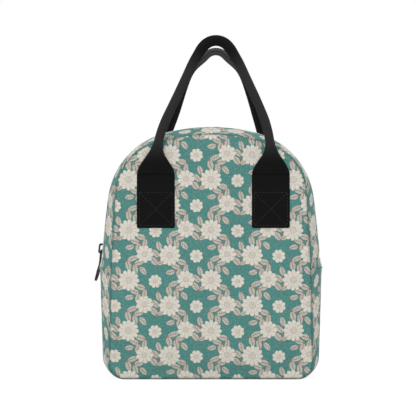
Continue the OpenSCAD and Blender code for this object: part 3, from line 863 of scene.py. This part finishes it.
def stacked(first, rings, sides):
    """Faces round a stack of rings of points, and over its two ends."""
    faces = [(first + j * sides + i, first + j * sides + (i + 1) % sides,
              first + (j + 1) * sides + (i + 1) % sides, first + (j + 1) * sides + i)
             for j in range(rings - 1) for i in range(sides)]
    last = first + (rings - 1) * sides
    return faces + [tuple(range(first, first + sides))[::-1], tuple(range(last, last + sides))]


tape_knit = black_tape("zip_knit", 0.6 * mm, "121213")
tooth_plastic = moulded("tooth_plastic", "0f0f10", "1d1d1f")
# Half a tooth's outline from above in mm, as depth from the tape's edge and half length along the zip
HALF_TOOTH = ((0.0, 0.75), (0.55, 0.55), (1.15, 0.6), (1.6, 1.0), (1.95, 0.85), (2.1, 0.45))
tooth_outline = HALF_TOOTH + tuple((depth, -half) for depth, half in HALF_TOOTH[::-1])
# Rings up a tooth as height, length along the zip and reach across it, all as shares
TOOTH_RINGS = ((-0.5, 0.75, 0.9), (-0.36, 1.0, 1.0), (0.3, 1.0, 1.0), (0.5, 0.68, 0.9))
tooth_root = 0.2
for side, sign in SIDES:
    tape_rows = sorted((sign * y, foam_in) for y in tape_lines)
    tape = gusset_sheet(f"zip_tape_{side}_knit", tape_rows, True, tape_t, tape_knit)
    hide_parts(f"zip_tape_{side}")
    hinge(tape)

    # The front row starts above the slider, and the back row at its lower end and half a pitch off
    first_tooth = slider_rise + (0.5 if sign < 0 else -0.5) * slider_len + play
    stagger = 0.25 if sign < 0 else 0.75
    points = []
    faces = []
    for mirror in (1, -1):
        for k in range(int((half_arch - first_tooth) / tooth_pitch)):
            centre, angle = arch(half_arch - tooth_pitch * (k + stagger), foam_in + tape_t / 2)
            up = np.array([-sin(angle), cos(angle)])
            tooth = stacked(len(points), len(TOOTH_RINGS), len(tooth_outline))
            faces += facing(tooth, mirror * sign > 0)
            for level, length, reach in TOOTH_RINGS:
                for depth, half in tooth_outline:
                    place = centre + ray(angle) * tooth_h * level + up * half * length * mm
                    y = sign * (tape_edge_y - (tooth_root + (depth - tooth_root) * reach) * mm)
                    points.append((mirror * place[0], y, place[1]))
    row = piece(f"zip_teeth_{side}_row", points, faces, tooth_plastic, smooth=0)
    for polygon in row.data.polygons:
        polygon.use_smooth = False
    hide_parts(f"zip_teeth_{side}")
    hinge(row)

# Sewn ends of the handles: 38 mm black webbing with its end folded under, sewn flat on the panel with
# a box and a cross of black thread. It presses half its thickness into the padding.
webbing_t = 1.8 * mm
patch_len = 55 * mm
box_len = 38 * mm
step_up = 0.5 * mm
step_w = 0.4 * mm
edge_w = 1.2 * mm
edge_drop = 0.6 * mm
cross_dent = 0.35 * mm
rib_pitch = 1.9 * mm
pick_pitch = 2.2 * mm


def black_webbing():
    finish = material("black_webbing")
    u, v, place = flat_place(finish)
    sheen_share = finish.part(place, "Z") / mm
    wander = finish.speckle(place, 300) - 0.5
    rib = abs(finish.math("SINE", (u + wander * (0.2 * mm)) * (pi / rib_pitch)))
    row = finish.math("FLOOR", u / rib_pitch) * 0.5
    pick = abs(finish.math("SINE", (v / pick_pitch + row) * pi))
    fuzz = finish.speckle(place, 1900, 3)
    relief = rib ** 0.5 * (0.22 * mm) + pick * (0.14 * mm) + fuzz * (0.08 * mm)
    tone = finish.mix(finish.clamp(rib * pick + fuzz * 0.3 - 0.1), colour("050506"), colour("101011"))
    # Painted sheen: the rolled webbing of the handles is painted paler, most on its ribs
    tone = finish.mix(finish.clamp(sheen_share * (rib * 0.4 + 0.7)), tone, colour("4a4a4b"))
    return finish.surface(relief, Base_Color=tone, Roughness=fuzz * 0.25 + 0.62,
                          Sheen_Weight=0.02, Specular_IOR_Level=0.1)


webbing = black_webbing()
thread_r = 0.32 * mm
stitch_len = 2.7 * mm
stitch_gap = 0.6 * mm
stitch_sides = 6
thread_wide = 1.15
# Rings along a stitch as place, girth and lift, all as shares
STITCH_RINGS = ((-0.5, 0.35, -0.45), (-0.32, 0.9, 0.0), (0.0, 1.0, 0.125), (0.32, 0.9, 0.0),
                (0.5, 0.35, -0.45))


def stitched(name, lines, finish):
    """Sewing thread as one piece: short rounded stitches along each line of (point, outward) pairs."""
    points = []
    faces = []
    for line in lines:
        path = np.array([point for point, _ in line])
        outs = np.array([out for _, out in line])
        reach = np.concatenate([[0], np.cumsum(np.linalg.norm(np.diff(path, axis=0), axis=1))])
        count = max(1, int(reach[-1] / (stitch_len + stitch_gap)))

        def at(length, values):
            return np.array([np.interp(length, reach, values[:, c]) for c in range(3)])

        for k in range(count):
            middle = (k + 0.5) * reach[-1] / count
            run = at(middle + stitch_len / 2, path) - at(middle - stitch_len / 2, path)
            run /= max(np.linalg.norm(run), 1e-9)
            out = at(middle, outs)
            out /= np.linalg.norm(out)
            across = np.cross(run, out) * thread_wide
            faces += facing(stacked(len(points), len(STITCH_RINGS), stitch_sides), False)
            for shift, girth, lift in STITCH_RINGS:
                for turn in np.arange(stitch_sides) * 2 * pi / stitch_sides:
                    round_it = across * cos(turn) * girth + out * (sin(turn) * girth + lift)
                    points.append(at(middle, path) + run * shift * stitch_len + round_it * thread_r)
    return piece(name, points, faces, finish, smooth=0)


def thread(name, dark, light):
    finish = material(name)
    place = finish.node("TexCoord", {}, {}, out="Object")
    twist = finish.node("TexWave", {"bands_direction": "DIAGONAL"}, {"Vector": place, "Scale": 900.0})
    return finish.surface(twist * (0.04 * mm), Base_Color=finish.mix(twist, colour(dark), colour(light)),
                          Roughness=twist * 0.15 + 0.55, Specular_IOR_Level=0.3)


black_thread = thread("black_thread", "0f0f10", "232325")
teal_thread = thread("teal_thread", "3f776f", "6a9f96")
box_in = 2.6 * mm
box_sunk = 0.05 * mm
cross_sunk = 0.2 * mm
box_half = webbing_w / 2 - box_in
box_top = box_len - box_in
corners = ((-box_half, box_in), (box_half, box_in), (box_half, box_top), (-box_half, box_top))
# Seams as their two ends and how far they sink in: the four sides of the box, and its two diagonals
seams = [(corners[k], corners[(k + 1) % 4], box_sunk) for k in range(4)]
seams += [(corners[k], corners[k + 2], cross_sunk) for k in range(2)]
patch_xs = np.linspace(-webbing_w / 2, webbing_w / 2, 15)
patch_zs = np.concatenate([np.linspace(0, box_len - step_w, 14), np.linspace(box_len, patch_len, 7)])


def sewn_rise(x, z):
    """How far the face of a sewn end stands off the flat of the panel."""
    edge = min(webbing_w / 2 - abs(x), z)
    rise = webbing_t / 2 - edge_drop * max(0.0, 1 - edge / edge_w) ** 2
    rise += step_up if z < box_len - step_w / 2 else 0.0
    # The cross of stitches pulls the webbing in a little
    along_box = (z - box_in) / (box_len - 2 * box_in) * 2 - 1
    near = min(abs(along_box - x / box_half), abs(along_box + x / box_half))
    return rise - (cross_dent * max(0.0, 1 - near * 4) if abs(along_box) < 1 else 0.0)


for side, sign in SIDES:
    for hand, way in (("left", -1), ("right", 1)):
        middle_x = way * patch_half + sewn_off
        flat = [(x, z) for z in patch_zs for x in patch_xs]
        points = [(middle_x + x, sign * (panel_y + sewn_rise(x, z)), patch_z + z) for x, z in flat]
        net = facing(quads(len(patch_zs), len(patch_xs), False), sign > 0)
        end = piece(f"{side}_sewn_end_{hand}", points, net, webbing, [(x, z, 0) for x, z in flat], webbing_t)
        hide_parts(f"{side}_patch_{hand}")
        hinge(end)

        lines = []
        for (x0, z0), (x1, z1), sunk in seams:
            y = sign * (panel_y + webbing_t / 2 + step_up - sunk)
            lines.append([((middle_x + x0 + (x1 - x0) * t, y, patch_z + z0 + (z1 - z0) * t), (0, sign, 0))
                          for t in np.linspace(0, 1, 12)])
        stitches = stitched(f"{side}_stitches_{hand}", lines, black_thread)
        hinge(stitches)

# Handles: the same webbing, flat where it leaves the panel, then curled until its two edges meet at
# the back, which makes a round grip that runs up to a tight arch. Both hang a little to one side, and
# the back one splays its legs.
handle_fold_z = patch_z + patch_len
foot_z = handle_fold_z + 9.4 * mm
leg_lean = radians(24.4)
foot_bend_r = 120 * mm
leg_half = 4.6 * mm
grip_half_d = 4 * mm
handle_lean_in = 15 * mm
roll_len = 30 * mm
rim_z = PANEL.height - 2 * mm
arch_z = 305 * mm
arch_end = 8 * mm
sway_len = 83 * mm
splay_z = 250 * mm
splay_len = 72 * mm
splay_end_z = 324 * mm
splay_end_len = 14 * mm
pinch = 0.13
pinch_z = 314 * mm
pinch_len = 22 * mm
tone_len = 25 * mm
ripple = 0.25 * mm
ripple_len = 14 * mm
# Height of the middle line's top and the grip's half width there, sway, splay, and how much painted
# sheen lightens the rolled webbing on the legs and at the top
HANDLES = {"front": (341 * mm, 5.6 * mm, 2.7 * mm, 0.0, 0.36, 0.0),
           "back": (343 * mm, 4.2 * mm, 3.2 * mm, 7.2 * mm, 0.08, 0.9)}


def handle_path(apex_z):
    """The right half of a handle's middle line as cut, as (x, z) from foot to apex."""
    bend = np.array([patch_half - foot_bend_r, foot_z])
    leg = ray(leg_lean)
    reach = leg @ (bend + foot_bend_r * leg)
    apex_r = (reach - sin(leg_lean) * apex_z) / (1 - sin(leg_lean))
    apex = np.array([0, apex_z - apex_r])
    path = [(patch_half, z) for z in np.linspace(handle_fold_z - 1 * mm, foot_z, 5)]
    path += [bend + foot_bend_r * ray(leg_lean * k / 15) for k in range(1, 16)]
    start = bend + foot_bend_r * leg
    end = apex + apex_r * leg
    path += [start + (end - start) * k / 12 for k in range(1, 12)]
    path += [apex + apex_r * ray(leg_lean + (pi / 2 - leg_lean) * k / 18) for k in range(19)]
    return path


def hung(x, z, sway, splay):
    """Where a point of a handle's middle line hangs: pinched at the top, swayed and splayed."""
    narrow = 1 - pinch * eased((z - pinch_z) / pinch_len)
    wide = splay * eased((z - splay_z) / splay_len) * (1 - eased((z - splay_end_z) / splay_end_len))
    shift = sewn_off + sway * eased((z - handle_fold_z) / sway_len)
    return np.array([x * narrow + (wide if x > 0 else -wide) + shift, z])


strap_points = 21
full_curl = 2 * pi * 0.985
least_curl = 0.02
for side, sign in SIDES:
    apex_z, top_half, sway, splay, leg_sheen, top_sheen = HANDLES[side]
    half = handle_path(apex_z)
    path = [hung(x, z, sway, splay) for x, z in half + [(-x, z) for x, z in half[-2::-1]]]
    points = []
    cloth = []
    run = 0.0
    for n, (x, z) in enumerate(path):
        ahead = path[min(n + 1, len(path) - 1)] - path[max(n - 1, 0)]
        out_x, out_z = np.array([ahead[1], -ahead[0]]) / hypot(*ahead)
        run += hypot(*(path[n] - path[max(n - 1, 0)]))
        roll = min(1.0, max(0.0, (z - handle_fold_z) / roll_len))
        at_top = eased((z - arch_z) / (apex_z - arch_end - arch_z))
        grip = leg_half + (top_half - leg_half) * at_top
        curl = max(least_curl, full_curl * roll)
        width = 1 + ((grip - webbing_t / 2) * full_curl / webbing_w - 1) * roll
        depth = 2 * (grip_half_d - webbing_t / 2) * roll
        lean = handle_lean_in * eased((z - rim_z) / (apex_z - rim_z) * 0.5) * 2
        wave = ripple * noise.noise(Vector((x, sign, z)) / ripple_len)
        front = panel_y + play * roll + webbing_t / 2 + depth - lean + wave * roll
        # tone is the painted sheen on the rolled webbing, rising from the foot
        tone = eased((z - foot_z) / tone_len) * (leg_sheen + (top_sheen - leg_sheen) * at_top)
        for k in range(strap_points):
            s = (k / (strap_points - 1) - 0.5) * webbing_w
            turn = curl * s / webbing_w
            across = width * webbing_w / curl * sin(turn)
            back = depth * (1 - cos(turn)) / (1 - cos(curl / 2))
            points.append((x + across * out_x, sign * (front - back), z + across * out_z))
            # The third number is how much painted sheen lightens the rolled webbing
            cloth.append((s, run, tone * mm))
    net = facing(quads(len(path), strap_points, False), sign < 0)
    strap = piece(f"{side}_handle_strap", points, net, webbing, cloth, webbing_t, offset=0.0)
    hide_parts(f"{side}_handle")
    y = sign * (panel_y + webbing_t)
    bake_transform(strap)

# Top-stitching: one line of teal thread beside each edge of the zip, and one along the hem where the
# lower strip laps over the zip strips.
stitch_in = 2.6 * mm
hem_in = 3
toward_seam = stitch_in / abs(row_y[slot_edge[0]] - row_y[slot_edge[0] - 1])
for side, sign in SIDES:
    row = slot_edge[0] if sign < 0 else slot_edge[-1]
    line = []
    for i in range(fold_at, loop_count - fold_at + 1):
        k = row * loop_count + i
        beyond = k + sign * loop_count
        place = shell_points[k] * (1 - toward_seam) + shell_points[beyond] * toward_seam
        line.append((place, shell_normals[k]))
    stitches = stitched(f"zip_stitches_{side}", [line], teal_thread)
    hinge(stitches)

hem_lines = []
for i in (fold_at - hem_in, loop_count - fold_at + hem_in):
    across = [row * loop_count + i for row in range(1, row_count - 1)]
    hem_lines.append([(shell_points[k] + shell_normals[k] * hem_proud, shell_normals[k]) for k in across])
hem_stitches = stitched("hem_stitches", hem_lines, teal_thread)
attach(hem_stitches, "base")

# Slider and pull: cast zinc with a hard black enamel, worn a little brighter along the edges. The
# castings keep their modelled form, with a fuller bridge, a longer blade and eased edges.
edge_ease = 0.3 * mm


def black_enamel():
    finish = material("black_enamel")
    place = finish.node("TexCoord", {}, {}, out="Object")
    pits = finish.speckle(place, 900, 4)
    scuffs = finish.speckle(place, 260, 5, Distortion=1.5)
    edges = finish.node("NewGeometry", {}, {}, out="Pointiness")
    worn = finish.clamp((edges - 0.53) * 14) * finish.clamp(scuffs * 2.2 - 0.7)
    tone = finish.mix(worn, finish.mix(scuffs, colour("0b0b0c"), colour("161618")), colour("4c4c4f"))
    return finish.surface(pits * (0.04 * mm), Base_Color=tone, Roughness=scuffs * 0.25 + 0.28,
                          Specular_IOR_Level=0.2, Coat_Weight=0.05, Coat_Roughness=0.3)


enamel = black_enamel()
sharp = radians(30)
plate_out = 128 * mm
bridge_middle = 115.2 * mm
pull_neck = 105 * mm
pull_grip = 98 * mm
bridge_clear = 0.3 * mm
bridge_longer = 1.2
bridge_higher = 1.12
blade_longer = 1.12
# The middle of the modelled blade moves out by this share of the way down it
blade_slant = 0.11
blade_lean = 0.012
grip_extra = 0.6 * mm
grip_len = 5 * mm


def fuller(up, out):
    """The bridge drawn out into a rounder loop. up is along the zip, out is away from the bag."""
    if out > plate_out + bridge_clear:
        up = bridge_middle + (up - bridge_middle) * bridge_longer
        out = plate_out + (out - plate_out) * bridge_higher
    return up, out


def longer(up, out):
    """The pull's blade drawn longer, and thicker where it is gripped."""
    beyond = pull_neck - up
    if beyond > 0:
        outer = out > plate_out + beyond * blade_slant
        thicker = grip_extra * eased((pull_grip - up) / grip_len) if outer else 0.0
        up = pull_neck - beyond * blade_longer
        out += beyond * blade_lean + thicker
    return up, out


for node, name, body, change in (("slider_body", "slider_casting", "slider", fuller),
                                 ("pull_tab", "pull_casting", "pull", longer)):
    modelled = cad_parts[node].data
    points = []
    s = sin(side_lean)
    c = cos(side_lean)
    for x, y, z in (vertex.co for vertex in modelled.vertices):
        up, out = change(x * s + z * c, z * s - x * c)
        points.append((up * s - out * c, y, up * c + out * s))
    casting = piece(name, points, [polygon.vertices for polygon in modelled.polygons], enamel, smooth=0)
    casting.data.set_sharp_from_angle(angle=sharp)
    ease = casting.modifiers.new("eased_edges", "BEVEL")
    ease.width = edge_ease
    ease.segments = 2
    ease.limit_method = "ANGLE"
    ease.angle_limit = sharp
    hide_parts(node)
    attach(casting, body)
